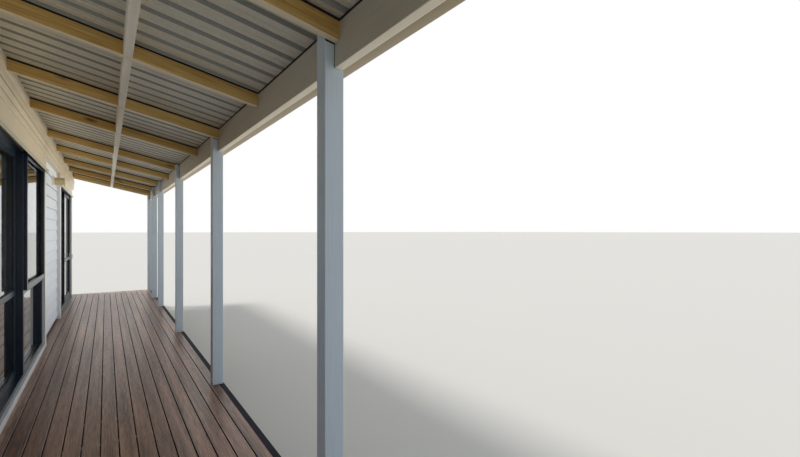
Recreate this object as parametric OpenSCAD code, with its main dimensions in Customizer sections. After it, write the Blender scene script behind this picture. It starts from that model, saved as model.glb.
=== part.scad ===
// Single-storey weatherboard beach house with a long front verandah.
// X runs along the verandah, -Y is the verandah side, Z = 0 is the ground.

/* [House] */
// Length of the front wall of the house
house_len = 12975; // [12600:25:13300]
// Depth of the house, front wall face to back wall face
house_w = 7000; // [6400:50:8000]
// Thickness of the framed and lined walls
wall_t = 130; // [120:5:150]
// Height of the front wall's top above the verandah roofing
eave_gap = 90; // [80:2:130]
// Height of the room, floor to ceiling
room_h = 2400; // [2350:10:2450]
// Thickness of the ceiling lining
ceiling_t = 13; // [10:1:20]
// Step up from the deck to the floor
floor_step = 50; // [20:5:80]
// Depth of the floor platform: boards, joists and bearers
platform_t = 250; // [200:10:300]
// Thickness of the base boards
base_t = 20; // [15:1:30]
// Side of a square house pile
pile_w = 125; // [100:5:150]
// Distance of the outer house piles from the wall faces
pile_inset = 125; // [100:5:300]

/* [Main roof] */
// Pitch of the main roof in degrees
roof_pitch = 15; // [12:1:18]
// Thickness of the roof, sheets and purlins
roof_t = 70; // [50:5:90]
// Reach of the front eave past the wall
front_eave = 150; // [130:5:170]
// Reach of the back eave past the wall
back_eave = 450; // [300:10:600]
// Reach of the roof past each end wall
gable_eave = 150; // [100:10:250]
// Thickness of the fascia and barge boards
fascia_t = 25; // [18:1:32]
// Depth of the front fascia board
front_fascia_h = 130; // [100:5:140]
// Depth of the back fascia board
back_fascia_h = 180; // [140:5:200]
// Depth of the barge boards
barge_h = 160; // [120:5:200]
// Thickness of the soffit lining
soffit_t = 10; // [6:1:15]
// Width of each wing of the ridge cap
ridge_wing = 200; // [150:10:250]

/* [Gutters and flashings] */
// Width of the gutters
gutter_w = 107; // [90:1:130]
// Height of the gutters
gutter_h = 105; // [80:5:110]
// Thickness of folded sheet metal
metal_t = 3; // [2:0.5:4]
// Diameter of the downpipes
downpipe_d = 80; // [65:5:85]
// Upstand of the apron flashing on the wall
apron_up = 60; // [50:5:70]
// Cover of the apron flashing over the roofing
apron_out = 150; // [130:5:160]
// Depth of the gutters' rims below the roof's top
rim_drop = 5; // [2:1:15]
// Distance of the downpipes from the ends of the verandah
pipe_inset = 100; // [80:5:200]
// Height of the downpipes' lower ends above the ground
pipe_foot = 60; // [30:5:120]

/* [Verandah] */
// Distance of the end posts from the ends of the verandah
post_end = 300; // [150:10:400]
// Reach from the front wall face to the outer edge of the deck
deck_reach = 1550; // [1450:10:1700]
// Height of the deck's top above the ground
deck_top = 400; // [380:10:500]
// Thickness of the deck boards
board_t = 32; // [25:1:40]
// Depth of the deck joists
joist_h = 140; // [120:5:160]
// Thickness of the deck joists and fascia
joist_t = 45; // [35:1:50]
// Largest distance between the deck joists
joist_gap = 450; // [400:10:600]
// Depth of the deck bearers
bearer_h = 90; // [70:5:110]
// Width of the deck bearers
bearer_t = 70; // [50:5:90]
// Distance of the inner deck bearer from the wall face
bearer_in = 200; // [150:10:300]
// Distance of the outer deck bearer from the deck's outer edge
bearer_out = 180; // [120:10:250]
// Side of a square verandah post
post_w = 90; // [80:5:110]
// Distance of the posts from the deck's outer edge
post_inset = 12; // [0:1:30]
// Headroom from the deck to the underside of the beam
headroom = 2104; // [2050:2:2150]
// Depth of the beam at its inner face
beam_h = 199; // [180:1:220]
// Thickness of the beam
beam_t = 45; // [40:1:50]
// Pitch of the verandah roof in degrees
verandah_pitch = 12.75; // [11.5:0.25:13]
// Depth of the rafters, square to their slope
rafter_h = 90; // [75:1:120]
// Thickness of the rafters, noggings and ledger
rafter_t = 45; // [40:1:50]
// Depth of the ledger
ledger_h = 140; // [120:5:160]
// Distance of the nogging line from the wall face
nogging_at = 758; // [700:5:800]
// Thickness of the corrugated verandah roofing
sheet_t = 18; // [15:1:20]
// Reach of the roofing past the beam
sheet_out = 50; // [40:5:60]
// Drop from the inner top of the beam to the bottom of its gutter
gutter_drop = 159; // [150:1:170]

/* [Doors and windows] */
// Height of door and window heads above the deck
head_up = 2140; // [2100:5:2180]
// Start of the near glazing, from the near end of the wall
near_at = 3825; // [3600:25:4000]
// Width of the pair of doors in the near glazing
near_doors = 2400; // [2200:20:2440]
// Width of the side light in the near glazing
side_light = 1400; // [1300:20:1500]
// Distance of the far door from the far end of the wall
far_gap = 575; // [400:25:700]
// Width of the far door
far_doors = 2600; // [2400:20:2700]
// Width of the frame members
frame_w = 40; // [30:1:50]
// Depth of the frames through the wall
frame_d = 120; // [110:5:125]
// Reach of the frames past the wall face
frame_out = 31; // [25:1:40]
// Width of the sash members
sash_w = 55; // [45:1:70]
// Thickness of the door sashes
sash_t = 35; // [30:1:40]
// Thickness of the glass
glass_t = 6; // [4:1:8]
// Height of the mid rails' top above the deck
rail_up = 860; // [800:10:950]
// Depth of the mid rails
rail_h = 50; // [40:1:70]
// Clearance between a sliding sash and what it passes
slide_gap = 6; // [5:0.5:8]
// Thickness of the awning sash in front of its frame
awning_t = 24; // [18:1:30]
// Width of the door sill boards on the deck
sill_w = 58; // [50:1:70]
// Height of a window sill above the floor
window_up = 900; // [800:10:1100]
// Width of a large window
window_w = 1500; // [1200:50:1800]
// Distance of the back wall's large windows, at their middle, from its ends
back_window_at = 2430; // [2000:10:2800]
// Width of the small window in the back wall
small_window_w = 800; // [600:50:1000]
// Height of a door handle above the floor
handle_up = 765; // [700:5:1000]
// Length of a door handle
handle_len = 90; // [80:5:200]

/* [Wall light] */
// Distance of the wall light from the far door
light_gap = 800; // [600:25:1000]
// Height of the wall light above the deck
light_up = 2100; // [2050:10:2120]
// Reach of the wall light from its block
light_reach = 165; // [120:5:180]
// Diameter of the wall light
light_d = 110; // [90:5:130]

/* [Hidden] */
$fn = 32;
half_len = house_len / 2;
gutter_in = fascia_t + gutter_w;
verandah_out = deck_reach - post_inset + gutter_w;
total_y = verandah_out + house_w + back_eave + gutter_in;
wall_y = verandah_out - total_y / 2;
back_y = wall_y + house_w;
floor_z = deck_top + floor_step;
platform_z = floor_z - platform_t;
slope = tan(roof_pitch);
roof_v = roof_t / cos(roof_pitch);
head_z = deck_top + head_up;
far_at = house_len - far_gap - far_doors;
light_at = far_at - light_gap;
// Clearance between sloping pieces that rest on each other
seat = 0.3;
// Overshoot of a cut past the face that it opens
cut = 1;

bays = 5;
// Places of the posts, and of the rafters that stand between them, in bays from the first post
post_steps = [0, 1.017, 2, 3, 4, 4.5, 5];
loose_steps = [0.5, 1.48, 2.43, 3.5];
// Side of each post on which its own rafter stands
post_sides = [1, -1, -1, 1, 1, 1, -1];
// Gap between a post and its rafter
post_gap = 5;
bay_len = (house_len - 2 * post_end) / bays;
first_post = post_end - half_len;
joist_z = deck_top - board_t - joist_h;
bearer_z = joist_z - bearer_h;
deck_gap = 10;
fall = tan(verandah_pitch);
rafter_v = rafter_h / cos(verandah_pitch);
sheet_v = sheet_t / cos(verandah_pitch);
beam_out = deck_reach - post_inset;
beam_in = beam_out - beam_t;
beam_z = deck_top + headroom;
cladding_t = 22;
ledger_out = cladding_t + rafter_t;
sheet_edge = beam_out + sheet_out;
end_rafter = half_len - rafter_t / 2;
post_x = [for (step = post_steps) first_post + step * bay_len];
loose_x = [for (step = loose_steps) first_post + step * bay_len];
beside_x = [for (i = [0:len(post_x) - 1])
    post_x[i] + post_sides[i] * (post_w / 2 + post_gap + rafter_t / 2)];
rafter_x = [-end_rafter, beside_x[0], loose_x[0], beside_x[1], loose_x[1], beside_x[2], loose_x[2],
    beside_x[3], loose_x[3], beside_x[4], beside_x[5], beside_x[6], end_rafter];

sill_h = 35;
mullion_w = 60;
door_clear = near_doors - frame_w - mullion_w / 2;
near_panel = door_clear / 2 + sash_w / 2;
far_clear = far_doors - 2 * frame_w;
far_panel = far_clear / 2 + sash_w / 2;
face_step = 7;
track_rib = 2;
slide_face = frame_out - face_step;
fixed_face = slide_face - sash_t - slide_gap - track_rib;
door_low = floor_z + sill_h;
door_high = head_z - frame_w;
roller_r = 12;
roller_t = 10;
roller_gap = 0.3;
mullion_x = near_doors - mullion_w / 2;

// A box between two corners
module block(low, high) {
    translate(low) cube(high - low);
}

// An outline given as [distance out from the front wall face, height], run along X
module along(points, x0, x1) {
    translate([x0, wall_y, 0]) rotate([90, 0, 90]) linear_extrude(x1 - x0)
        polygon([for (p = points) [-p[0], p[1]]]);
}

// Height of the rafters' top edge at a distance out from the wall face
function rafter_top(d) = beam_z + beam_h + (beam_in - d) * fall;

// Height of the verandah roofing's top at a distance out from the wall face
function sheet_top(d) = rafter_top(d) + seat + sheet_v;

// Height of the walls' tops at a distance in from the front wall face
function wall_top(d) = sheet_top(0) + eave_gap + min(d, house_w - d) * slope;

// Height of the main roof's top at a distance in from the front wall face
function roof_top(d) = wall_top(d) + seat + roof_v;

// A frame in the XZ plane: an outer rectangle less its openings, with its front at y
module frame_plate(x0, x1, z0, z1, y, t, holes) {
    difference() {
        block([x0, y, z0], [x1, y + t, z1]);
        for (h = holes) block([h[0], y - cut, h[1]], [h[2], y + t + cut, h[3]]);
    }
}

pile_spans = 5;
pile_row_spans = 2;

module house_piles() {
    x0 = pile_inset - half_len;
    y0 = wall_y + pile_inset;
    color("tan") for (i = [0:pile_spans], j = [0:pile_row_spans])
        translate([x0 - i / pile_spans * (2 * x0 + pile_w),
            y0 + j / pile_row_spans * (house_w - 2 * pile_inset - pile_w), 0])
            cube([pile_w, pile_w, platform_z]);
}

module floor_platform() {
    color("burlywood") block([-half_len, wall_y, platform_z], [half_len, back_y, floor_z]);
}

base_gap = 2;

module base_boards() {
    end_in = base_t + base_gap;
    color("gainsboro") {
        for (y = [wall_y, back_y - base_t])
            block([-half_len, y, 0], [half_len, y + base_t, platform_z]);
        for (x = [-half_len, half_len - base_t])
            block([x, wall_y + end_in, 0], [x + base_t, back_y - end_in, platform_z]);
    }
}

// A length of front wall, its top cut to the roof, with x measured from the near end
module front_piece(x0, x1, z0) {
    along([[0, z0], [-wall_t, z0], [-wall_t, wall_top(wall_t)], [0, wall_top(0)]],
        x0 - half_len, x1 - half_len);
}

near_end = near_at + near_doors + side_light;
far_end = far_at + far_doors;
window_x = near_at / 2 - window_w / 2;
window_z = floor_z + window_up;

module front_wall_near() {
    color("white") difference() {
        front_piece(0, near_at, floor_z);
        block([window_x - half_len, wall_y - cut, window_z],
            [window_x + window_w - half_len, wall_y + wall_t + cut, head_z]);
    }
}

module front_wall_centre() { color("white") front_piece(near_end, far_at, floor_z); }
module front_wall_far() { color("white") front_piece(far_end, house_len, floor_z); }
module front_wall_near_head() { color("white") front_piece(near_at, near_end, head_z); }
module front_wall_far_head() { color("white") front_piece(far_at, far_end, head_z); }

// Middle and width of each window in the back wall
back_windows = [[back_window_at - half_len, window_w], [0, small_window_w],
    [half_len - back_window_at, window_w]];

module back_wall() {
    color("white") difference() {
        along([[-house_w, floor_z], [wall_t - house_w, floor_z],
            [wall_t - house_w, wall_top(house_w - wall_t)], [-house_w, wall_top(house_w)]],
            -half_len, half_len);
        for (w = back_windows)
            block([w[0] - w[1] / 2, back_y - wall_t - cut, window_z],
                [w[0] + w[1] / 2, back_y + cut, head_z]);
    }
}

end_window_y = (wall_y + back_y) / 2;

module end_wall(x) {
    difference() {
        along([[-wall_t, floor_z], [wall_t - house_w, floor_z],
            [wall_t - house_w, wall_top(house_w - wall_t)],
            [-house_w / 2, wall_top(house_w / 2)], [-wall_t, wall_top(wall_t)]],
            x, x + wall_t);
        block([x - cut, end_window_y - window_w / 2, window_z],
            [x + wall_t + cut, end_window_y + window_w / 2, head_z]);
    }
}

module near_end_wall() { color("white") end_wall(-half_len); }
module far_end_wall() { color("white") end_wall(half_len - wall_t); }

module ceiling() {
    color("whitesmoke") block([wall_t - half_len, wall_y + wall_t, floor_z + room_h],
        [half_len - wall_t, back_y - wall_t, floor_z + room_h + ceiling_t]);
}

// One slope of the main roof between two distances in from the front wall face
module roof_slope(d0, d1) {
    along([[-d0, roof_top(d0) - roof_v], [-d1, roof_top(d1) - roof_v],
        [-d1, roof_top(d1)], [-d0, roof_top(d0)]],
        -half_len - gable_eave, half_len + gable_eave);
}

module front_roof() { color("slategray") roof_slope(-front_eave, house_w / 2); }
module back_roof() { color("slategray") roof_slope(house_w / 2, house_w + back_eave); }

module ridge_cap() {
    mid = house_w / 2;
    low = mid - ridge_wing;
    high = mid + ridge_wing;
    top = seat + metal_t;
    color("slategray") along([[-low, roof_top(low) + seat], [-mid, roof_top(mid) + seat],
        [-high, roof_top(high) + seat], [-high, roof_top(high) + top],
        [-mid, roof_top(mid) + top], [-low, roof_top(low) + top]],
        -half_len - gable_eave, half_len + gable_eave);
}

back_face = house_w + back_eave;
front_top = roof_top(-front_eave);
back_top = roof_top(back_face);

module fascia_boards() {
    x = half_len + gable_eave;
    color("white") {
        block([-x, wall_y - front_eave - fascia_t, front_top - front_fascia_h],
            [x, wall_y - front_eave, front_top]);
        block([-x, wall_y + back_face, back_top - back_fascia_h],
            [x, wall_y + back_face + fascia_t, back_top]);
    }
}

// A barge board under the roof's end, from the front fascia over the ridge to the back fascia
module barge(x) {
    d0 = -front_eave - fascia_t;
    d1 = back_face + fascia_t;
    mid = house_w / 2;
    along([[-d0, roof_top(d0)], [-mid, roof_top(mid)], [-d1, roof_top(d1)],
        [-d1, roof_top(d1) - barge_h], [-mid, roof_top(mid) - barge_h],
        [-d0, roof_top(d0) - barge_h]], x, x + fascia_t);
}

module barge_boards() {
    color("white") for (x = [-half_len - gable_eave - fascia_t, half_len + gable_eave]) barge(x);
}

// An open gutter with stop ends, its back at distance d out and its bottom at height z
module gutter(d, z, x) {
    difference() {
        along([[d, z], [d + gutter_w, z], [d + gutter_w, z + gutter_h], [d, z + gutter_h]], -x, x);
        along([[d + metal_t, z + metal_t], [d + gutter_w - metal_t, z + metal_t],
            [d + gutter_w - metal_t, z + gutter_h + cut], [d + metal_t, z + gutter_h + cut]],
            metal_t - x, x - metal_t);
    }
}

front_gutter_z = front_top - rim_drop - gutter_h;
back_gutter_z = back_top - rim_drop - gutter_h;

module main_gutters() {
    x = half_len + gable_eave;
    color("lightgray") {
        gutter(front_eave + fascia_t, front_gutter_z, x);
        gutter(-back_face - gutter_in, back_gutter_z, x);
    }
}

module back_soffit() {
    z = back_top - back_fascia_h;
    color("white") block([-half_len - gable_eave, back_y, z],
        [half_len + gable_eave, wall_y + back_face, z + soffit_t]);
}

module apron_flashing() {
    top = sheet_top(0) + seat;
    over = sheet_top(apron_out) + seat;
    color("slategray") along([[0, top], [apron_out, over], [apron_out, over + metal_t],
        [metal_t, top + metal_t - metal_t * fall], [metal_t, top + apron_up],
        [0, top + apron_up]], -half_len, half_len);
}

// A round pipe between two points
module pipe(a, b) {
    v = b - a;
    len = norm(v);
    translate(a) rotate([0, acos(v[2] / len), atan2(v[1], v[0])]) cylinder(h = len, d = downpipe_d);
}

// A run of pipe through points, with a socket elbow at each bend
module pipe_run(points) {
    for (i = [1:len(points) - 1]) pipe(points[i - 1], points[i]);
    if (len(points) > 2) for (i = [1:len(points) - 2])
        translate(points[i]) sphere(d = downpipe_d + 2 * socket_t);
}

socket_t = 4;
elbow_drop = 90;
pipe_wall_gap = 22;
verandah_gutter_z = beam_z + beam_h - gutter_drop;

module downpipes() {
    y = wall_y - beam_out - gutter_w / 2;
    x = half_len - pipe_inset;
    eave_y = wall_y + back_face + fascia_t + gutter_w / 2;
    down_y = back_y + pipe_wall_gap + downpipe_d / 2;
    high = back_gutter_z - elbow_drop;
    low = high - (eave_y - down_y);
    color("white") {
        pipe_run([[-x, y, pipe_foot], [-x, y, verandah_gutter_z]]);
        for (side = [-x, x])
            pipe_run([[side, down_y, pipe_foot], [side, down_y, low], [side, eave_y, high],
                [side, eave_y, back_gutter_z]]);
    }
}

near_x0 = near_at - half_len;
near_x1 = near_end - half_len;
far_x0 = far_at - half_len;
far_x1 = far_end - half_len;
frame_y = wall_y - frame_out;
rail_z = deck_top + rail_up;
light_x0 = near_x0 + near_doors + mullion_w / 2;
light_x1 = near_x1 - frame_w;

module near_frame() {
    color("#16191d") frame_plate(near_x0, near_x1, floor_z, head_z, frame_y, frame_d, [
        [near_x0 + frame_w, door_low, near_x0 + mullion_x, door_high],
        [light_x0, door_low, light_x1, rail_z - rail_h],
        [light_x0, rail_z, light_x1, door_high]]);
}

// A door sash with a mid rail, from x0 to x1 and z0 to z1, its face a distance d out
module door_sash(x0, x1, z0, z1, d) {
    frame_plate(x0, x1, z0, z1, wall_y - d, sash_t, [
        [x0 + sash_w, z0 + sash_w, x1 - sash_w, rail_z - rail_h],
        [x0 + sash_w, rail_z, x1 - sash_w, z1 - sash_w]]);
}

// The two panes of a door sash
module door_glass(x0, x1, z0, z1, d) {
    y = wall_y - d + (sash_t - glass_t) / 2;
    block([x0 + sash_w, y, z0 + sash_w], [x1 - sash_w, y + glass_t, rail_z - rail_h]);
    block([x0 + sash_w, y, rail_z], [x1 - sash_w, y + glass_t, z1 - sash_w]);
}

// Two rollers under a sliding sash, which carry it on the sill
module rollers(x0, x1, d) {
    for (x = [x0 + 2 * sash_w, x1 - 2 * sash_w])
        translate([x, wall_y - d + sash_t / 2 + roller_t / 2, door_low + roller_gap + roller_r])
            rotate([90, 0, 0]) cylinder(h = roller_t, r = roller_r);
}

awning_lap = 18;
awning_sash_w = 48;

near_fixed_x1 = near_x0 + mullion_x;
near_fixed_x0 = near_fixed_x1 - near_panel;

module near_sashes() {
    color("#16191d") {
        door_sash(near_fixed_x0, near_fixed_x1, door_low, door_high, fixed_face);
        frame_plate(light_x0 - awning_lap, light_x1 + awning_lap, rail_z - awning_lap,
            door_high + awning_lap, frame_y - awning_t, awning_t,
            [[light_x0 - awning_lap + awning_sash_w, rail_z - awning_lap + awning_sash_w,
            light_x1 + awning_lap - awning_sash_w, door_high + awning_lap - awning_sash_w]]);
    }
}

light_glass_in = 12;
low_glass_in = 40;

module near_glass() {
    color("lightblue", 0.4) {
        door_glass(near_fixed_x0, near_fixed_x1, door_low, door_high, fixed_face);
        block([light_x0, frame_y + low_glass_in, door_low],
            [light_x1, frame_y + low_glass_in + glass_t, rail_z - rail_h]);
        block([light_x0, frame_y + light_glass_in, rail_z],
            [light_x1, frame_y + light_glass_in + glass_t, door_high]);
    }
}

near_slide_x0 = near_x0 + frame_w + slide_gap;
near_slide_x1 = near_slide_x0 + near_panel;
far_slide_x1 = far_x1 - frame_w - slide_gap;
far_slide_x0 = far_slide_x1 - far_panel;
slide_low = door_low + slide_gap;
slide_high = door_high - slide_gap;

module near_slider_sash() {
    color("#16191d") {
        door_sash(near_slide_x0, near_slide_x1, slide_low, slide_high, slide_face);
        rollers(near_slide_x0, near_slide_x1, slide_face);
    }
}

module near_slider_glass() {
    color("lightblue", 0.4)
        door_glass(near_slide_x0, near_slide_x1, slide_low, slide_high, slide_face);
}

handle_t = 14;
handle_reach = 55;

// A bow handle on the face of a sliding sash, on the stile with its middle at mid
module bow_handle(mid) {
    x = mid - handle_t / 2;
    y = wall_y - slide_face;
    z = floor_z + handle_up;
    difference() {
        block([x, y - handle_reach, z], [x + handle_t, y, z + handle_len]);
        block([x - cut, y - handle_reach + handle_t, z + handle_t],
            [x + handle_t + cut, y + cut, z + handle_len - handle_t]);
    }
}

module near_slider_handle() { color("white") bow_handle(near_slide_x0 + sash_w / 2); }
module far_slider_handle() { color("white") bow_handle(far_slide_x1 - sash_w / 2); }

module far_frame() {
    color("#16191d") frame_plate(far_x0, far_x1, floor_z, head_z, frame_y, frame_d,
        [[far_x0 + frame_w, door_low, far_x1 - frame_w, door_high]]);
}

module far_fixed_sash() {
    x0 = far_x0 + frame_w;
    color("#16191d") door_sash(x0, x0 + far_panel, door_low, door_high, fixed_face);
}

module far_fixed_glass() {
    x0 = far_x0 + frame_w;
    color("lightblue", 0.4) door_glass(x0, x0 + far_panel, door_low, door_high, fixed_face);
}

module far_slider_sash() {
    color("#16191d") {
        door_sash(far_slide_x0, far_slide_x1, slide_low, slide_high, slide_face);
        rollers(far_slide_x0, far_slide_x1, slide_face);
    }
}

module far_slider_glass() {
    color("lightblue", 0.4)
        door_glass(far_slide_x0, far_slide_x1, slide_low, slide_high, slide_face);
}

// A sill board on the deck, under a glazed opening from x0 to x1
module sill_board(x0, x1) {
    block([x0, wall_y - sill_w, deck_top], [x1, wall_y, floor_z]);
}

module near_door_sill() { color("white") sill_board(near_x0, near_x1); }
module far_door_sill() { color("#16191d") sill_board(far_x0, far_x1); }

// A window frame centred on the origin in X, its front face at y = 0 and its depth along +Y
module window_frame(w) {
    frame_plate(-w / 2, w / 2, window_z, head_z, 0, frame_d,
        [[frame_w - w / 2, window_z + frame_w, w / 2 - frame_w, head_z - frame_w]]);
}

// The pane of a window frame
module window_pane(w) {
    block([frame_w - w / 2, low_glass_in, window_z + frame_w],
        [w / 2 - frame_w, low_glass_in + glass_t, head_z - frame_w]);
}

front_window_x = window_x + window_w / 2 - half_len;

// Puts a frame or pane in each window: 0 is a frame, 1 is a pane
module in_windows(pane) {
    module one(w) { if (pane == 1) window_pane(w); else window_frame(w); }
    translate([front_window_x, frame_y, 0]) one(window_w);
    for (w = back_windows)
        translate([w[0], back_y + frame_out, 0]) rotate([0, 0, 180]) one(w[1]);
    translate([-half_len - frame_out, end_window_y, 0]) rotate([0, 0, -90]) one(window_w);
    translate([half_len + frame_out, end_window_y, 0]) rotate([0, 0, 90]) one(window_w);
}

module window_frames() { color("#16191d") in_windows(0); }
module window_glass() { color("lightblue", 0.4) in_windows(1); }

bearer_d = [bearer_in, deck_reach - bearer_out];

module deck_piles() {
    color("tan") for (k = [0:bays], d = bearer_d)
        translate([first_post + k * bay_len - pile_w / 2, wall_y - d - pile_w / 2, 0])
            cube([pile_w, pile_w, bearer_z]);
}

module deck_bearers() {
    color("tan") for (d = bearer_d)
        block([-half_len, wall_y - d - bearer_t / 2, bearer_z],
            [half_len, wall_y - d + bearer_t / 2, joist_z]);
}

joist_n = ceil((house_len - joist_t) / joist_gap);

boards_y = wall_y - deck_reach + joist_t;

module deck_joists() {
    color("tan") for (i = [0:joist_n]) {
        x = -half_len + i * (house_len - joist_t) / joist_n;
        block([x, boards_y, joist_z], [x + joist_t, wall_y, joist_z + joist_h]);
    }
}

module deck_boards() {
    color("#735a50") block([-half_len, boards_y, deck_top - board_t],
        [half_len, wall_y - deck_gap, deck_top]);
}

module deck_fascia() {
    color("#2a3038") block([-half_len, wall_y - deck_reach, joist_z],
        [half_len, boards_y, deck_top]);
}

// A verandah post, notched on its outer side to seat the beam, with its tongue up to the roofing
module verandah_post(i) {
    x = post_x[i - 1];
    post_in = beam_out - post_w;
    color("white") along([[beam_out, deck_top], [post_in, deck_top],
        [post_in, rafter_top(post_in)], [beam_in, rafter_top(beam_in)],
        [beam_in, beam_z], [beam_out, beam_z]], x - post_w / 2, x + post_w / 2);
}

module verandah_beam() {
    color("white") along([[beam_in, beam_z], [beam_out, beam_z],
        [beam_out, rafter_top(beam_out)], [beam_in, rafter_top(beam_in)]], -half_len, half_len);
}

module verandah_ledger() {
    top = rafter_top(ledger_out);
    color("wheat") along([[0, top - ledger_h], [ledger_out, top - ledger_h],
        [ledger_out, top], [0, top]], -half_len, half_len);
}

module verandah_rafters() {
    color("#c08a3c") for (x = rafter_x)
        along([[ledger_out, rafter_top(ledger_out) - rafter_v],
            [beam_in, rafter_top(beam_in) - rafter_v], [beam_in, rafter_top(beam_in)],
            [ledger_out, rafter_top(ledger_out)]], x - rafter_t / 2, x + rafter_t / 2);
}

module verandah_noggings() {
    d0 = nogging_at - rafter_t / 2;
    d1 = nogging_at + rafter_t / 2;
    color("wheat") for (i = [1:len(rafter_x) - 1])
        along([[d0, rafter_top(d0) - rafter_v], [d1, rafter_top(d1) - rafter_v],
            [d1, rafter_top(d1)], [d0, rafter_top(d0)]],
            rafter_x[i - 1] + rafter_t / 2, rafter_x[i] - rafter_t / 2);
}

module verandah_roof() {
    color("slategray") along([[0, sheet_top(0) - sheet_v], [sheet_edge, sheet_top(sheet_edge) - sheet_v],
        [sheet_edge, sheet_top(sheet_edge)], [0, sheet_top(0)]],
        -half_len - fascia_t, half_len + fascia_t);
}

module verandah_gutter() {
    color("lightgray") gutter(beam_out, verandah_gutter_z, half_len + fascia_t);
}

light_block = 150;
block_proud = 12;

module wall_light() {
    x = light_at - half_len;
    z = deck_top + light_up;
    block_d = cladding_t + block_proud;
    color("ivory") {
        block([x - light_block / 2, wall_y - block_d, z - light_block / 2],
            [x + light_block / 2, wall_y, z + light_block / 2]);
        translate([x, wall_y - block_d, z]) rotate([90, 0, 0])
            cylinder(h = light_reach - block_d, d = light_d);
    }
}

house_piles();
floor_platform();
base_boards();
front_wall_near();
front_wall_centre();
front_wall_far();
front_wall_near_head();
front_wall_far_head();
back_wall();
near_end_wall();
far_end_wall();
ceiling();
front_roof();
back_roof();
ridge_cap();
fascia_boards();
barge_boards();
main_gutters();
back_soffit();
apron_flashing();
downpipes();
near_frame();
near_sashes();
near_glass();
near_slider_sash();
near_slider_glass();
near_slider_handle();
far_frame();
far_fixed_sash();
far_fixed_glass();
far_slider_sash();
far_slider_glass();
far_slider_handle();
near_door_sill();
far_door_sill();
window_frames();
window_glass();
deck_piles();
deck_bearers();
deck_joists();
deck_boards();
deck_fascia();
verandah_post(1);  // post_1
verandah_post(2);  // post_2
verandah_post(3);  // post_3
verandah_post(4);  // post_4
verandah_post(5);  // post_5
verandah_post(6);  // post_6
verandah_post(7);  // post_7
verandah_beam();
verandah_ledger();
verandah_rafters();
verandah_noggings();
verandah_roof();
verandah_gutter();
wall_light();
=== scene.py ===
import math
import random

import bmesh
import bpy
from mathutils import Matrix, Vector


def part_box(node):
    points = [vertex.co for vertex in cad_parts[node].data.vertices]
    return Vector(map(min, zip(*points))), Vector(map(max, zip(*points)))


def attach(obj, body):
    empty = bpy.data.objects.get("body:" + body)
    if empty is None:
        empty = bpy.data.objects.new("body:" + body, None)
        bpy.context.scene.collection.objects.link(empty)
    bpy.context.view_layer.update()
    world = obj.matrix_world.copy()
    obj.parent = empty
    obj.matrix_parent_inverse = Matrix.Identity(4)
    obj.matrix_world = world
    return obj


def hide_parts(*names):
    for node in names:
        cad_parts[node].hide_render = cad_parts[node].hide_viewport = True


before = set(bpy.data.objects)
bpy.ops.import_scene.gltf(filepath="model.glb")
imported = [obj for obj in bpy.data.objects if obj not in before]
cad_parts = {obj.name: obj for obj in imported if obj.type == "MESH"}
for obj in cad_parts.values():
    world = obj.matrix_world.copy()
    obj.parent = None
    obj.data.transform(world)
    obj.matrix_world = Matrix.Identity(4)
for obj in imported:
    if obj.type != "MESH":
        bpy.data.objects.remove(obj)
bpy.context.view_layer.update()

# The camera stands on the deck near its near end, about chest high, and looks along the verandah
# and out to its open side.
eye = (-5.4875, -3.6235, 1.785)
camera_turn = math.radians(-123.8)
lens_mm = 19.755
horizon_shift = 0.0031


def put_in_scene(name, data):
    """Puts a new object that has this data into the scene."""
    thing = bpy.data.objects.new(name, data)
    bpy.context.scene.collection.objects.link(thing)
    return thing


camera_data = bpy.data.cameras.new("verandah_camera")
camera_data.lens = lens_mm
camera_data.sensor_width = 36
camera_data.shift_y = horizon_shift
camera_data.clip_end = 2000
camera = put_in_scene("verandah_camera", camera_data)
camera.location = eye
camera.rotation_euler = (math.radians(90), 0, camera_turn)
bpy.context.scene.camera = camera

# Piles, bearers and joists under the house and the deck: rough-sawn radiata pine, treated by
# pressure, which the weather has turned from green to a grey brown. Nailed together on site.


def linear(hex_colour):
    """Turns an sRGB hex colour into the linear colour that a shader reads."""
    channels = [int(hex_colour[i:i + 2], 16) / 255 for i in (1, 3, 5)]
    return (*[c / 12.92 if c <= 0.04045 else ((c + 0.055) / 1.055) ** 2.4 for c in channels], 1)


def add(material, kind, inputs=None, **settings):
    """Adds a node with its settings. An input is a value, an output, or a node for its first output."""
    node = material.node_tree.nodes.new(kind)
    for name, value in settings.items():
        setattr(node, name, value)
    for name, value in (inputs or {}).items():
        if isinstance(value, bpy.types.Node):
            value = value.outputs[0]
        if isinstance(value, bpy.types.NodeSocket):
            material.node_tree.links.new(value, node.inputs[name])
        else:
            node.inputs[name].default_value = value
    return node


def start_material(name, surface):
    """Starts a material with constants on its shader, and gives it with its Object coordinates."""
    material = bpy.data.materials.new(name)
    material.use_nodes = True
    shader = material.node_tree.nodes["Principled BSDF"]
    for socket, value in surface.items():
        shader.inputs[socket].default_value = value
    return material, add(material, "ShaderNodeTexCoord").outputs["Object"]


def dress(material, **sources):
    """Links outputs, or nodes for their first outputs, to the sockets of the material's shader."""
    shader = material.node_tree.nodes["Principled BSDF"]
    for socket, source in sources.items():
        output = source.outputs[0] if isinstance(source, bpy.types.Node) else source
        material.node_tree.links.new(output, shader.inputs[socket.replace("_", " ")])


def shade(material, tone, value, darkest, lightest, span=(0, 1)):
    """Darkens or lightens a tone as a value crosses a span."""
    amount = add(material, "ShaderNodeMapRange", {
        "Value": value, "From Min": span[0], "From Max": span[1], "To Min": darkest, "To Max": lightest})
    return add(material, "ShaderNodeMix", {0: 1, 6: tone, 7: amount},
               data_type="RGBA", blend_type="MULTIPLY").outputs[2]


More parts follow.
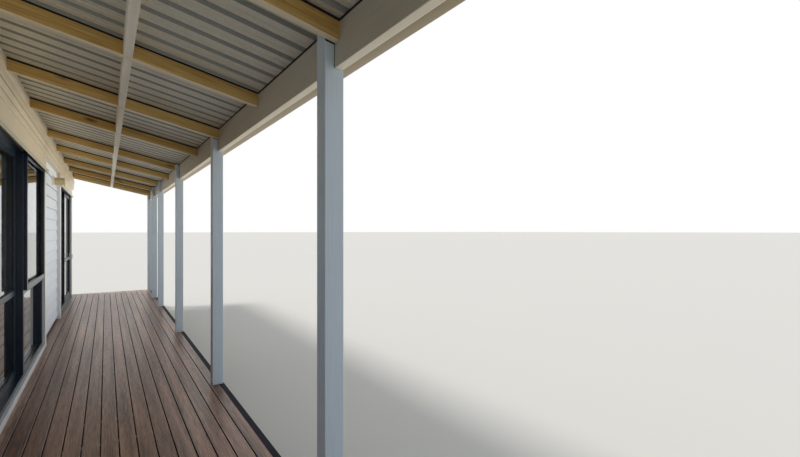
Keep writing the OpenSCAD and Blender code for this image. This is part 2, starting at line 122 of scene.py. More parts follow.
def vary_boards(material, tone, place, axis, start, pitch, darkest, lightest):
    """Shades each board on its own. Gives the new tone, and how many boards on each point lies."""
    apart = add(material, "ShaderNodeSeparateXYZ", {"Vector": place}).outputs[axis]
    along = add(material, "ShaderNodeMath", {0: apart, 1: start}, operation="SUBTRACT")
    count = add(material, "ShaderNodeMath", {0: along, 1: pitch}, operation="DIVIDE")
    number = add(material, "ShaderNodeMath", {0: count}, operation="FLOOR")
    chance = add(material, "ShaderNodeTexWhiteNoise", {"W": number}, noise_dimensions="1D")
    return shade(material, tone, chance, darkest, lightest), count


def timber(name, pale, dark, roughness, grain_mm, run, tilt=0, board=None, knots=False):
    """Wood with grain along run, an axis, after a tilt about X; board is the axis and pitch of boards."""
    material, place = start_material(name, {"Roughness": roughness})
    across = 1000 / grain_mm
    stretch = [across / 30 if axis == run else across for axis in "XYZ"]
    turned = add(material, "ShaderNodeMapping", {"Vector": place, "Rotation": (tilt, 0, 0)})
    lie = add(material, "ShaderNodeMapping", {"Vector": turned, "Scale": stretch})
    fine = add(material, "ShaderNodeTexNoise", {"Vector": lie, "Scale": 1, "Detail": 5})
    broad = add(material, "ShaderNodeTexNoise", {"Vector": lie, "Scale": 0.12, "Detail": 2})
    figure = add(material, "ShaderNodeMix", {0: 0.45, 2: fine, 3: broad})
    spread = add(material, "ShaderNodeMapRange", {"Value": figure, "From Min": 0.36, "From Max": 0.66})
    tone = add(material, "ShaderNodeMix", {0: spread, 6: linear(dark), 7: linear(pale)},
               data_type="RGBA").outputs[2]
    if knots:
        spots = add(material, "ShaderNodeMapping",
                    {"Vector": turned, "Scale": [2.6 if axis == run else 9 for axis in "XYZ"]})
        cell = add(material, "ShaderNodeTexVoronoi", {"Vector": spots, "Scale": 1})
        knot = add(material, "ShaderNodeMapRange",
                   {"Value": cell, "From Min": 0.06, "From Max": 0.20, "To Min": 0.85, "To Max": 0})
        tone = add(material, "ShaderNodeMix", {0: knot, 6: tone, 7: linear("#573619")},
                   data_type="RGBA").outputs[2]
    if board:
        axis, pitch, start = board
        tone = vary_boards(material, tone, place, axis, start, pitch, 0.84, 1.1)[0]
    relief = add(material, "ShaderNodeBump", {"Height": fine, "Strength": 0.25, "Distance": 0.0008})
    dress(material, Base_Color=tone, Normal=relief)
    return material


def finish_node(node, material):
    """Gives a CAD node its finish and leaves its shape alone."""
    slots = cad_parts[node].data.materials
    slots.clear()
    slots.append(material)


# Rough-sawn treated pine: dull and coarse grained, grey brown with a little green left in it.
sawn = {"pale": "#8F866C", "dark": "#5F5845", "roughness": 0.9, "grain_mm": 9}
pile_pine = timber("treated_pine_pile", run="Z", **sawn)
finish_node("house_piles", pile_pine)
finish_node("deck_piles", pile_pine)
finish_node("deck_bearers", timber("treated_pine_bearer", run="X", **sawn))
finish_node("deck_joists", timber("treated_pine_joist", run="Y", **sawn))

# Base boards: short upright boards with gaps to air the space under the floor, nailed round the
# foot of the house and painted like its walls.
base_low, base_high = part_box("base_boards")
base_board_w = 0.140
base_gap = 0.018
base_t = 0.020


def add_box(bm, low, high):
    """Adds a box between two opposite corners."""
    low, high = Vector(low), Vector(high)
    size = [abs(b - a) for a, b in zip(low, high)]
    place = Matrix.Translation((low + high) / 2) @ Matrix.Diagonal((*size, 1))
    bmesh.ops.create_cube(bm, size=1, matrix=place)


def make_piece(name, bm, materials, nodes=(), smooth=None, body="house"):
    """Turns a mesh into a piece that rides on a body and may stand for CAD nodes."""
    bmesh.ops.recalc_face_normals(bm, faces=bm.faces)
    if smooth:
        for face in bm.faces:
            face.smooth = True
        for edge in bm.edges:
            edge.smooth = len(edge.link_faces) == 2 and edge.calc_face_angle() < math.radians(smooth)
    mesh = bpy.data.meshes.new(name)
    bm.to_mesh(mesh)
    bm.free()
    for material in materials:
        mesh.materials.append(material)
    piece = put_in_scene(name, mesh)
    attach(piece, body)
    if nodes:
        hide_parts(*nodes)
    return piece


def paint(name, colour, soiled, roughness, brush_mm=3, run=None, laps=None):
    """Brushed paint: marks of the brush along run, an axis, a little dirt, and painted shade under laps."""
    material, place = start_material(name, {"Roughness": roughness})
    across = 1000 / brush_mm
    stretch = [across / 40 if axis == run else across for axis in "XYZ"]
    lie = add(material, "ShaderNodeMapping", {"Vector": place, "Scale": stretch})
    marks = add(material, "ShaderNodeTexNoise", {"Vector": lie, "Scale": 0.5, "Detail": 4})
    patches = add(material, "ShaderNodeTexNoise", {"Vector": place, "Scale": 2.3, "Detail": 5})
    dirt = add(material, "ShaderNodeMapRange",
               {"Value": patches, "From Min": 0.5, "From Max": 0.85, "To Max": 0.3})
    tone = add(material, "ShaderNodeMix", {0: dirt, 6: linear(colour), 7: linear(soiled)},
               data_type="RGBA").outputs[2]
    tone = shade(material, tone, marks, 0.95, 1.03, span=(0.3, 0.7))
    if laps:
        first, pitch, depth = laps
        tone, count = vary_boards(material, tone, place, "Z", first, pitch, 0.95, 1.0)
        share = add(material, "ShaderNodeMath", {0: count}, operation="FRACT")
        # The bluish grey band just under each lap is painted shade.
        line = add(material, "ShaderNodeMapRange",
                   {"Value": share, "From Min": 1 - depth / pitch, "To Max": 0.85})
        tone = add(material, "ShaderNodeMix", {0: line, 6: tone, 7: linear("#8A98A6")},
                   data_type="RGBA").outputs[2]
    relief = add(material, "ShaderNodeBump", {"Height": marks, "Strength": 0.2, "Distance": 0.0005})
    dress(material, Base_Color=tone, Normal=relief)
    return material


def board_starts(start, end):
    """Where boards begin that fill a stretch with even gaps."""
    count = int((end - start) / (base_board_w + base_gap))
    pitch = (end - start - base_board_w) / count
    return [start + i * pitch for i in range(count + 1)]


# Acrylic on the base boards: white with a soft sheen, and a little soil.
base_paint = paint("base_board_acrylic", "#E6E8E8", "#C4C2B8", 0.5, run="Z")
bm = bmesh.new()
for y0, y1 in ((base_low.y, base_low.y + base_t), (base_high.y - base_t, base_high.y)):
    for x in board_starts(base_low.x, base_high.x):
        add_box(bm, (x, y0, base_low.z), (x + base_board_w, y1, base_high.z))
for x0, x1 in ((base_low.x, base_low.x + base_t), (base_high.x - base_t, base_high.x)):
    for y in board_starts(base_low.y + base_t, base_high.y - base_t):
        add_box(bm, (x0, y, base_low.z), (x1, y + base_board_w, base_high.z))
make_piece("base_boards_spaced", bm, [base_paint], ["base_boards"])

# Floor: tongued pine boards laid along the house and nailed through their tongues, then sanded and
# varnished. They are seen through the doors.
floor_board_w = 0.135
# Varnished pine: honey brown, with a satin shine over its grain.
floor_pine = timber("varnished_floor_pine", "#A9794A", "#7F5630", 0.35, 12, "X",
                    board=("Y", floor_board_w, 0))
finish_node("floor_platform", floor_pine)

# Lining of the walls and the ceiling: sheets of plasterboard screwed to the framing, their joints
# filled and sanded, and painted with a roller.
lined = ["front_wall_near", "front_wall_centre", "front_wall_far", "front_wall_near_head",
         "front_wall_far_head", "back_wall", "near_end_wall", "far_end_wall", "ceiling"]
# Rolled flat paint: chalky, even and off-white.
lining_paint = paint("rolled_lining_paint", "#DAD9D3", "#CFCDC6", 0.85, 2)
for node in lined:
    finish_node(node, lining_paint)

# Weatherboards: bevel-back pine boards, thick at the butt and thin under the next one, nailed up
# the wall from the bottom and painted white. They stop at the facings round each opening.
cover = 0.1495
first_lap = 0.600
butt_t = 0.022
tip_t = 0.009
rebate = 0.001
arris = 0.002
undercut = 0.005
painted_lap_shade = 0.010
facing_w = 0.110
wall_foot = 0.440
frieze_foot = 2.688
base_top = base_high.z
(wall_left, front_y, _), (wall_right, back_y, _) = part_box("floor_platform")
faces = {"front": (Vector((0, front_y, 0)), Vector((1, 0, 0)), Vector((0, -1, 0))),
         "back": (Vector((0, back_y, 0)), Vector((1, 0, 0)), Vector((0, 1, 0))),
         "near": (Vector((wall_left, 0, 0)), Vector((0, 1, 0)), Vector((-1, 0, 0))),
         "far": (Vector((wall_right, 0, 0)), Vector((0, 1, 0)), Vector((1, 0, 0)))}
front_face = faces["front"]


def add_length(bm, outline, run):
    """Adds a solid length of an outline, a closed list of points, along a vector."""
    face = bm.faces.new([bm.verts.new(point) for point in outline])
    grown = bmesh.ops.extrude_face_region(bm, geom=[face])["geom"]
    bmesh.ops.translate(bm, vec=run, verts=[v for v in grown if isinstance(v, bmesh.types.BMVert)])


def absorb(bm, other):
    """Moves all of another mesh into this one."""
    passing = bpy.data.meshes.new("passing")
    other.to_mesh(passing)
    other.free()
    bm.from_mesh(passing)
    bpy.data.meshes.remove(passing)


def saw_off(bm, point, normal):
    """Cuts away what lies beyond a plane and closes the cut."""
    everything = bm.verts[:] + bm.edges[:] + bm.faces[:]
    cut = bmesh.ops.bisect_plane(bm, geom=everything, dist=1e-6, plane_co=point, plane_no=normal,
                                 clear_outer=True)["geom_cut"]
    bmesh.ops.holes_fill(bm, edges=[e for e in cut if isinstance(e, bmesh.types.BMEdge)])


def add_courses(bm, face, a0, a1, low, high, slopes=()):
    """Clads a stretch of a wall face between two places along it and two heights."""
    corner, along, out = face
    stretch = bmesh.new()
    for course in range(math.floor((low - first_lap) / cover), math.ceil((high - first_lap) / cover)):
        z = first_lap + course * cover
        section = [(0, z + undercut), (tip_t - rebate, z + undercut), (butt_t - arris, z),
                   (butt_t, z + arris), (tip_t, z + cover + undercut), (0, z + cover + undercut)]
        add_length(stretch, [corner + along * a0 + out * d + Vector((0, 0, h)) for d, h in section],
                   along * (a1 - a0))
    saw_off(stretch, (0, 0, low), (0, 0, -1))
    saw_off(stretch, (0, 0, high), (0, 0, 1))
    for point, normal in slopes:
        saw_off(stretch, point, normal)
    absorb(bm, stretch)


def add_wall(bm, face, a0, a1, low, high, openings, slopes=()):
    """Clads a wall between its ends, beside, under and over openings given as places and heights."""
    start = a0
    for left, right, sill, head in sorted(openings):
        add_courses(bm, face, start, left, low, high, slopes)
        if sill > low:
            add_courses(bm, face, left, right, low, sill, slopes)
        add_courses(bm, face, left, right, head, high, slopes)
        start = right
    add_courses(bm, face, start, a1, low, high, slopes)


def merged_copy(node):
    """A copy of a CAD node's mesh with its loose triangles joined."""
    copy = bmesh.new()
    copy.from_mesh(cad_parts[node].data)
    bmesh.ops.remove_doubles(copy, verts=copy.verts, dist=1e-5)
    return copy


def solid_boxes(node):
    """The lowest and highest corners of each solid of a CAD node, in order."""
    copy = merged_copy(node)
    copy.verts.index_update()
    left = {v.index: v for v in copy.verts}
    boxes = []
    while left:
        reached = [left.pop(next(iter(left)))]
        for vert in reached:
            for edge in vert.link_edges:
                other = edge.other_vert(vert)
                if left.pop(other.index, None):
                    reached.append(other)
        boxes.append([Vector([round(end(v.co[i] for v in reached), 5) for i in range(3)])
                      for end in (min, max)])
    copy.free()
    return sorted(boxes, key=lambda box: tuple(box[0]))


head_board_h = 0.170
head_lap = 0.022
sill_board_h = 0.045
near_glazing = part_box("near_frame")
far_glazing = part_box("far_frame")
windows = {wall: [] for wall in faces}
for low, high in solid_boxes("window_frames"):
    if high.x - low.x < high.y - low.y:
        windows["near" if low.x < 0 else "far"].append((low.y, high.y, low.z, high.z))
    else:
        windows["front" if low.y < 0 else "back"].append((low.x, high.x, low.z, high.z))


def grown(openings):
    """Openings with room for their facings, sill boards and head boards."""
    return [(a0 - facing_w, a1 + facing_w, z0 - sill_board_h, z1 - head_lap + head_board_h)
            for a0, a1, z0, z1 in openings]


doorways = [(low.x, high.x, wall_foot, high.z) for low, high in (near_glazing, far_glazing)]
ridge_y = (front_y + back_y) / 2
apex = Vector((0, ridge_y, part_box("near_end_wall")[1].z))
main_pitch = math.radians(15)
roof_planes = [(apex, Vector((0, side * math.sin(main_pitch), math.cos(main_pitch)))) for side in (-1, 1)]
back_soffit_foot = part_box("back_soffit")[0].z
laps = (first_lap + undercut, cover, painted_lap_shade)
# Acrylic on the weatherboards: white with a bluish tint that is painted skylight, brushed along the
# boards, with painted shade under each lap, which draws the lines that the eye reads as boards.
wall_paint = paint("weatherboard_acrylic", "#DBE6F2", "#CBD2D8", 0.5, run="X", laps=laps)
end_wall_paint = paint("end_weatherboard_acrylic", "#DBE6F2", "#CBD2D8", 0.5, run="Y", laps=laps)
bm = bmesh.new()
add_wall(bm, front_face, wall_left, wall_right, wall_foot, frieze_foot, grown(windows["front"] + doorways))
make_piece("front_weatherboards", bm, [wall_paint])
bm = bmesh.new()
add_wall(bm, faces["back"], wall_left, wall_right, base_top, back_soffit_foot, grown(windows["back"]))
make_piece("back_weatherboards", bm, [wall_paint])
for wall in ("near", "far"):
    bm = bmesh.new()
    add_wall(bm, faces[wall], front_y, back_y, base_top, apex.z, grown(windows[wall]), roof_planes)
    make_piece(wall + "_end_weatherboards", bm, [end_wall_paint])

# Corner boxes, facings, head boards and sill boards: planed pine boards with eased edges, nailed
# over the ends of the weatherboards. A drip folded out from under each head board throws the rain
# clear of the window.
corner_w = 0.090
corner_out = 0.040
facing_foot = 0.405
facing_out = 0.060
sill_out = 0.075
frame_out = 0.031
drip_out = 0.080
drip_h = 0.040
drip_t = 0.002
drip_past = 0.025
ledger_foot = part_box("verandah_ledger")[0].z


def ease(bm, width, segments=2):
    """Rounds the sharp edges of a mesh."""
    edges = [e for e in bm.edges if len(e.link_faces) == 2 and e.calc_face_angle() > math.radians(30)]
    bmesh.ops.bevel(bm, geom=edges, offset=width, segments=segments, affect="EDGES", profile=0.5,
                    material=-1, clamp_overlap=True)


def add_on_wall(bm, face, a0, a1, d0, d1, z0, z1):
    """Adds a box on a wall face, between places along it, distances out from it and heights."""
    corner, along, out = face
    add_box(bm, corner + along * a0 + out * d0 + Vector((0, 0, z0)),
            corner + along * a1 + out * d1 + Vector((0, 0, z1)))


def add_facings(bm, face, a0, a1, foot, head):
    """Adds a facing down each side of an opening."""
    for side in (a0 - facing_w, a1):
        add_on_wall(bm, face, side, side + facing_w, 0, facing_out, foot, head - head_lap)


def add_head(boards, drips, face, a0, a1, head):
    """Adds a head board over the facings, and the drip that is folded out from under it."""
    corner, along, out = face
    foot = head - head_lap
    add_on_wall(boards, face, a0, a1, 0, facing_out, foot, foot + head_board_h)
    section = [(frame_out, foot - drip_t), (frame_out, foot), (drip_out, foot), (drip_out, foot - drip_h),
               (drip_out - drip_t, foot - drip_h), (drip_out - drip_t, foot - drip_t)]
    add_length(drips, [corner + along * (a0 - drip_past) + out * d + Vector((0, 0, h)) for d, h in section],
               along * (a1 - a0 + 2 * drip_past))


# Gloss acrylic on the trim: smooth, the whitest part of the wall, with soft highlights on its edges.
trim_paint = paint("gloss_trim_acrylic", "#EDF0F1", "#D6D4CC", 0.32, 2)
boards, drips = bmesh.new(), bmesh.new()
for wall, face in faces.items():
    for a0, a1, z0, z1 in windows[wall]:
        add_facings(boards, face, a0, a1, z0, z1)
        add_on_wall(boards, face, a0 - facing_w, a1 + facing_w, 0, sill_out, z0 - sill_board_h, z0)
        add_head(boards, drips, face, a0 - facing_w, a1 + facing_w, z1)
for low, high in (near_glazing, far_glazing):
    add_facings(boards, front_face, low.x, high.x, facing_foot, high.z)
for x, turn in ((wall_left, -1), (wall_right, 1)):
    for y, out, foot, top in ((front_y, -1, wall_foot, ledger_foot), (back_y, 1, base_top, back_soffit_foot)):
        add_box(boards, (x - turn * corner_w, y, foot), (x + turn * corner_out, y + out * corner_out, top))
        add_box(boards, (x, y - out * corner_w, base_top), (x + turn * corner_out, y, top))
ease(boards, 0.003)
make_piece("facings_and_head_boards", boards, [trim_paint])
make_piece("head_drips", drips, [trim_paint])

# Frieze and door heads: three planed boards, each a little prouder than what is below it, fill the
# wall up to the ledger, with a narrow quirk over each. The doors' head boards carry a drip, and a
# thin black rubber strip over it is painted shade, the shadow line of the joint.
frieze_steps = ((frieze_foot, 2.748, 0.066), (2.752, 2.814, 0.072), (2.818, ledger_foot, 0.080))
quirk_h = 0.004
quirk_lap = 0.002
quirk_out = 0.061
shade_strip_out = 0.004
shade_strip_h = 0.006


def two_tone(name, surface, dark, pale, patches, detail):
    """A smooth material that drifts between two tones, in so many patches to the metre."""
    material, place = start_material(name, surface)
    drift = add(material, "ShaderNodeTexNoise", {"Vector": place, "Scale": patches, "Detail": detail})
    tone = add(material, "ShaderNodeMix", {0: drift, 6: linear(dark), 7: linear(pale)},
               data_type="RGBA").outputs[2]
    dress(material, Base_Color=tone)
    return material


# Acrylic on the frieze and the door heads: a little grained; its cream is painted warm light.
frieze_paint = paint("cream_frieze_acrylic", "#CFC6B2", "#A0947A", 0.42, 5, "X")
# Acrylic on their drips: the same cream, greyer.
drip_paint = paint("greyed_drip_acrylic", "#B4B3A2", "#97968A", 0.45, 3, "X")
# Extruded rubber: dull black, with a faint grey bloom.
rubber = two_tone("glazing_rubber", {"Roughness": 0.7}, "#0B0B0C", "#1C1C1D", 60, 3)
boards, drips, shade_strips = bmesh.new(), bmesh.new(), bmesh.new()
for foot, top, out in frieze_steps:
    add_on_wall(boards, front_face, wall_left, wall_right, 0, out, foot, top)
    add_on_wall(boards, front_face, wall_left, wall_right, 0, quirk_out, top - quirk_lap,
                min(top + quirk_h + quirk_lap, ledger_foot))
for low, high in (near_glazing, far_glazing):
    left, right, foot = low.x - facing_w, high.x + facing_w, high.z - head_lap
    add_head(boards, drips, front_face, left, right, high.z)
    # A black strip over each drip: painted shade.
    add_on_wall(shade_strips, front_face, left, right, facing_out, facing_out + shade_strip_out, foot, foot + shade_strip_h)
ease(boards, 0.0025)
make_piece("frieze_and_door_head_boards", boards, [frieze_paint])
make_piece("door_head_shade_strips", shade_strips, [rubber])
make_piece("door_head_drips", drips, [drip_paint])

# Near door sill: one planed pine board with eased edges, laid under the near doors and nailed to
# the floor framing, in the same gloss as the facings.


def add_node_copy(bm, node, width, segments=2):
    """Adds a copy of a CAD node with whole faces and eased edges."""
    copy = merged_copy(node)
    bmesh.ops.dissolve_limit(copy, angle_limit=math.radians(1), verts=copy.verts, edges=copy.edges)
    if width:
        ease(copy, width, segments)
    absorb(bm, copy)


def ease_node(node, width, material, body="house"):
    """Replaces a CAD node by the same shape with eased edges."""
    bm = bmesh.new()
    add_node_copy(bm, node, width)
    return make_piece(node + "_eased", bm, [material], [node], body=body)


ease_node("near_door_sill", 0.004, trim_paint)

# Window and door frames, sashes and glazing: extruded aluminium with a near-black powder coat,
# mitred and screwed, with rubber gaskets round clear float glass.
frame_w = 0.040
sash_bar_w = 0.034
sash_bar_out = 0.006
sash_bar_in = 0.030
gasket_w = 0.006
gasket_t = 0.002
# Powder coat: near black with a blue cast, and pebbled so finely that its highlights are soft.
powder_coat = two_tone("navy_black_powder_coat", {"Roughness": 0.3, "Specular IOR Level": 0.5},
                       "#07182A", "#122A3C", 6, 4)
place = add(powder_coat, "ShaderNodeTexCoord").outputs["Object"]
grit = add(powder_coat, "ShaderNodeTexNoise", {"Vector": place, "Scale": 900, "Detail": 2})
pebbles = add(powder_coat, "ShaderNodeBump", {"Height": grit, "Strength": 0.08, "Distance": 0.0003})
dress(powder_coat, Normal=pebbles)
# Float glass: clear, mirror smooth and faintly green, with a thin film of dust in places.
float_glass, place = start_material("clear_float_glass", {
    "Base Color": linear("#E9F1F0"), "Roughness": 0.0, "IOR": 1.6, "Transmission Weight": 1.0})
film = add(float_glass, "ShaderNodeTexNoise", {"Vector": place, "Scale": 5, "Detail": 5})
haze = add(float_glass, "ShaderNodeMapRange",
           {"Value": film, "From Min": 0.45, "From Max": 0.8, "To Max": 0.05})
dress(float_glass, Roughness=haze)
for node in ("near_glass", "near_slider_glass", "far_fixed_glass", "far_slider_glass", "window_glass"):
    finish_node(node, float_glass)
for node, body in (("near_frame", "house"), ("near_sashes", "house"), ("near_slider_sash", "near_slider"),
                   ("far_frame", "house"), ("far_fixed_sash", "house"), ("far_slider_sash", "far_slider"),
                   ("far_door_sill", "house")):
    ease_node(node, 0.0015, powder_coat, body)


def add_gaskets(bm, node):
    """Adds a rubber strip round both faces of each pane of a CAD node on the front wall."""
    for low, high in solid_boxes(node):
        for y0, y1 in ((low.y - gasket_t, low.y), (high.y, high.y + gasket_t)):
            for x in (low.x, high.x - gasket_w):
                add_box(bm, (x, y0, low.z), (x + gasket_w, y1, high.z))
            for z in (low.z, high.z - gasket_w):
                add_box(bm, (low.x + gasket_w, y0, z), (high.x - gasket_w, y1, z + gasket_w))


for name, body, nodes in (("fixed_gaskets", "house", ("near_glass", "far_fixed_glass")),
                          ("near_slider_gaskets", "near_slider", ("near_slider_glass",)),
                          ("far_slider_gaskets", "far_slider", ("far_slider_glass",))):
    bm = bmesh.new()
    for node in nodes:
        add_gaskets(bm, node)
    make_piece(name, bm, [rubber], body=body)
bm = bmesh.new()
add_node_copy(bm, "window_frames", 0)
for wall, face in faces.items():
    for a0, a1, z0, z1 in windows[wall]:
        left, right, low, high = a0 + frame_w, a1 - frame_w, z0 + frame_w, z1 - frame_w
        middle = (left + right) / 2
        for edge in (left, middle - sash_bar_w / 2, right - sash_bar_w):
            add_on_wall(bm, face, edge, edge + sash_bar_w, -sash_bar_in, sash_bar_out, low, high)
        for edge in (low, high - sash_bar_w):
            add_on_wall(bm, face, left, right, -sash_bar_in, sash_bar_out, edge, edge + sash_bar_w)
ease(bm, 0.0015)
make_piece("window_frames_and_sashes", bm, [powder_coat], ["window_frames"])

# Door handles: cast bow handles with a white powder coat, screwed through a narrow plate to the
# closing stile of each sliding door.
plate_w = 0.026
plate_t = 0.004
plate_past = 0.022
# White powder coat: even and slightly glossy, with softly rounded edges that catch the light.
handle_white = paint("white_powder_coat", "#FAFAF8", "#E6E4DE", 0.3, 1)
for side in ("near", "far"):
    bm = bmesh.new()
    add_node_copy(bm, side + "_slider_handle", 0.005, 4)
    low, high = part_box(side + "_slider_handle")
    middle = (low.x + high.x) / 2
    plate = bmesh.new()
    add_box(plate, (middle - plate_w / 2, high.y - plate_t, low.z - plate_past),
            (middle + plate_w / 2, high.y, high.z + plate_past))
    ease(plate, 0.0015)
    absorb(bm, plate)
    make_piece(side + "_door_bow_handle", bm, [handle_white], [side + "_slider_handle"],
               50, side + "_slider")

# Roofing: long-run trapezoidal steel with small swages in its pans, over a boarded slab, screwed
# through the ribs with hexagon heads on washers.
roof_t = 0.070
rib_pitch = 0.1575
first_rib = -3.5225
rib_foot = 0.052
rib_top = 0.028
rib_h = 0.0165
swage_w = 0.022
swage_h = 0.004
sheet_t = 0.0009
slab_t = roof_t - rib_h - 2 * sheet_t
screw_r = 0.0055
screw_h = 0.006
washer_r = 0.010
washer_t = 0.002
screw_rows = (0.04, 0.27, 0.5, 0.73, 0.93)


def rib_line(x0, x1):
    """The sheet's outline as places across it and heights, with whole ribs between two edges."""
    line = [(x0, 0)]
    rib = first_rib - math.floor((first_rib - x0) / rib_pitch) * rib_pitch
    while rib < x1 - rib_foot / 2:
        if rib - rib_foot / 2 > x0:
            line += [(rib - rib_foot / 2, 0), (rib - rib_top / 2, rib_h), (rib + rib_top / 2, rib_h),
                     (rib + rib_foot / 2, 0)]
        swage = rib + rib_pitch / 2
        if rib - rib_foot / 2 > x0 and swage + swage_w / 2 < x1:
            line += [(swage - swage_w / 2, 0), (swage - swage_w / 4, swage_h),
                     (swage + swage_w / 4, swage_h), (swage + swage_w / 2, 0)]
        rib += rib_pitch
    return line + [(x1, 0)]


def fold_sheet(line, run, thickness, outward):
    """A sheet folded along a line of points and run along a vector, its face where outward is positive."""
    sheet = bmesh.new()
    verts = [sheet.verts.new(point) for point in line]
    edges = [sheet.edges.new(pair) for pair in zip(verts, verts[1:])]
    moved = bmesh.ops.extrude_edge_only(sheet, edges=edges)["geom"]
    bmesh.ops.translate(sheet, vec=run, verts=[v for v in moved if isinstance(v, bmesh.types.BMVert)])
    bmesh.ops.recalc_face_normals(sheet, faces=sheet.faces)
    if sum(outward(face) for face in sheet.faces) < 0:
        bmesh.ops.reverse_faces(sheet, faces=sheet.faces)
    bmesh.ops.solidify(sheet, geom=sheet.faces[:], thickness=thickness)
    return sheet


def add_sheet(bm, x0, x1, foot, run, up):
    """Adds ribbed sheeting: foot is a point on its lower edge, run goes up the slope, up is square to it."""
    line = [Vector((x, foot.y, foot.z)) + up * (sheet_t + h) for x, h in rib_line(x0, x1)]
    sheet = fold_sheet(line, run, sheet_t, lambda face: face.normal.dot(up))
    # Faces on the underside get the lighter steel, which is painted light, and those up in the hollows of the
    # ribs get the darker steel, which is painted shade.
    for face in sheet.faces:
        if face.normal.dot(up) < -0.05:
            height = (face.calc_center_median() - foot).dot(up)
            face.material_index = 2 if height > rib_h / 3 else 1
    absorb(bm, sheet)


def add_round(bm, centre, radius, depth, segments, turn=Matrix.Identity(4), top=1.0):
    """Adds an upright round bar, turned about its centre, its top drawn in to a share of its radius."""
    bmesh.ops.create_cone(bm, cap_ends=True, segments=segments, radius1=radius, radius2=radius * top,
                          depth=depth, matrix=Matrix.Translation(centre) @ turn)


def add_roof_screws(bm, x0, x1, points, up):
    """Adds a hexagon head on a washer to every second rib, in a row at each point up the slope."""
    turn = Vector((0, 0, 1)).rotation_difference(up).to_matrix().to_4x4()
    rib = first_rib - math.floor((first_rib - x0) / rib_pitch) * rib_pitch + rib_pitch
    while rib < x1 - rib_foot:
        for point in points:
            seat = Vector((rib, point.y, point.z)) + up * (rib_h + 2 * sheet_t)
            add_round(bm, seat, washer_r, washer_t, 10, turn, top=0.8)
            add_round(bm, seat + up * (screw_h / 2), screw_r, screw_h, 6, turn)
        rib += 2 * rib_pitch


def sheet_steel(name, colour, roughness, metallic, spangle_mm):
    """Coated sheet steel: a dull sheen broken up by the crystals of the coating and by dust."""
    material, place = start_material(name, {"Metallic": metallic, "Roughness": roughness})
    spangle = add(material, "ShaderNodeTexVoronoi", {"Vector": place, "Scale": 1000 / spangle_mm})
    dust = add(material, "ShaderNodeTexNoise", {"Vector": place, "Scale": 3, "Detail": 5})
    crystals = add(material, "ShaderNodeSeparateColor", {"Color": spangle.outputs["Color"]})
    both = add(material, "ShaderNodeMix", {0: 0.6, 2: crystals, 3: dust})
    dull = add(material, "ShaderNodeMapRange",
               {"Value": both, "To Min": roughness - 0.06, "To Max": roughness + 0.1})
    dress(material, Base_Color=shade(material, linear(colour), both, 0.86, 1.12), Roughness=dull)
    return material


# Zinc-aluminium steel: a dull silver grey, weathered on top. Below, it is painted lighter and warmer
# as painted light, and the hollows of its ribs are painted darker as painted shade.
roof_sheets = [sheet_steel("zinc_aluminium_steel", "#9A9C98", 0.42, 0.45, 9),
               sheet_steel("zinc_aluminium_steel_below_painted_light", "#E0DCCC", 0.42, 0.25, 9),
               sheet_steel("zinc_aluminium_steel_hollow_painted_shade", "#A2A29A", 0.6, 0.2, 9)]
roof_steel = roof_sheets[0]
# Flat acrylic on the boards under the eaves: dull, with a little grey.
lining_boards = paint("soffit_acrylic", "#DADCDB", "#C9C8C1", 0.55, run="X")
for side, node in ((1, "front_roof"), (-1, "back_roof")):
    low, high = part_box(node)
    eave_y = low.y if side == 1 else high.y
    uphill = Vector((0, side * math.cos(main_pitch), math.sin(main_pitch)))
    uphill *= abs(ridge_y - eave_y) / math.cos(main_pitch)
    up = Vector((0, -side * math.sin(main_pitch), math.cos(main_pitch)))
    eave = Vector((low.x, eave_y, low.z))
    foot = eave + Vector((0, 0, slab_t / math.cos(main_pitch)))
    slab, sheets = bmesh.new(), bmesh.new()
    add_length(slab, [eave, eave + uphill, foot + uphill, foot], Vector((high.x - low.x, 0, 0)))
    add_sheet(sheets, low.x, high.x, foot, uphill, up)
    add_roof_screws(sheets, low.x, high.x, [foot + uphill * share for share in screw_rows], up)
    make_piece(node + "_deck", slab, [lining_boards], [node])
    make_piece(node + "_sheets", sheets, roof_sheets, [node])

# Ridge cap: folded from coated steel in long lengths, with a rolled lip along each wing, and
# screwed through the ribs on both slopes.
lip_r = 0.006
along_x = Matrix.Rotation(math.radians(90), 4, "Y")
bm = bmesh.new()
add_node_copy(bm, "ridge_cap", 0)
low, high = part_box("ridge_cap")
for side, y in ((-1, low.y), (1, high.y)):
    lip_at = ((low.x + high.x) / 2, y - side * lip_r, low.z + lip_r)
    add_round(bm, lip_at, lip_r, high.x - low.x, 12, along_x)
make_piece("ridge_cap_folded", bm, [roof_steel], ["ridge_cap"], smooth=40)

# Fascias, barge boards and soffit: planed boards with eased edges, painted, fixed to the rafter
# ends. The soffit is fibre-cement sheet.
for node in ("fascia_boards", "barge_boards"):
    ease_node(node, 0.003, trim_paint)
finish_node("back_soffit", lining_boards)

# Gutters: box gutters folded from enamelled steel with a beaded rim, closed by stop ends and held
# by brackets under the roof's edge. They are white on the main roof; on the verandah they are a
# wheat that is painted shade and a painted warm reflection.
gutter_metal = 0.0015
corner_r = 0.010
bead_r = 0.006
gutter_clear = 0.005
bracket_gap = 0.900
bracket_w = 0.025
bracket_t = 0.003


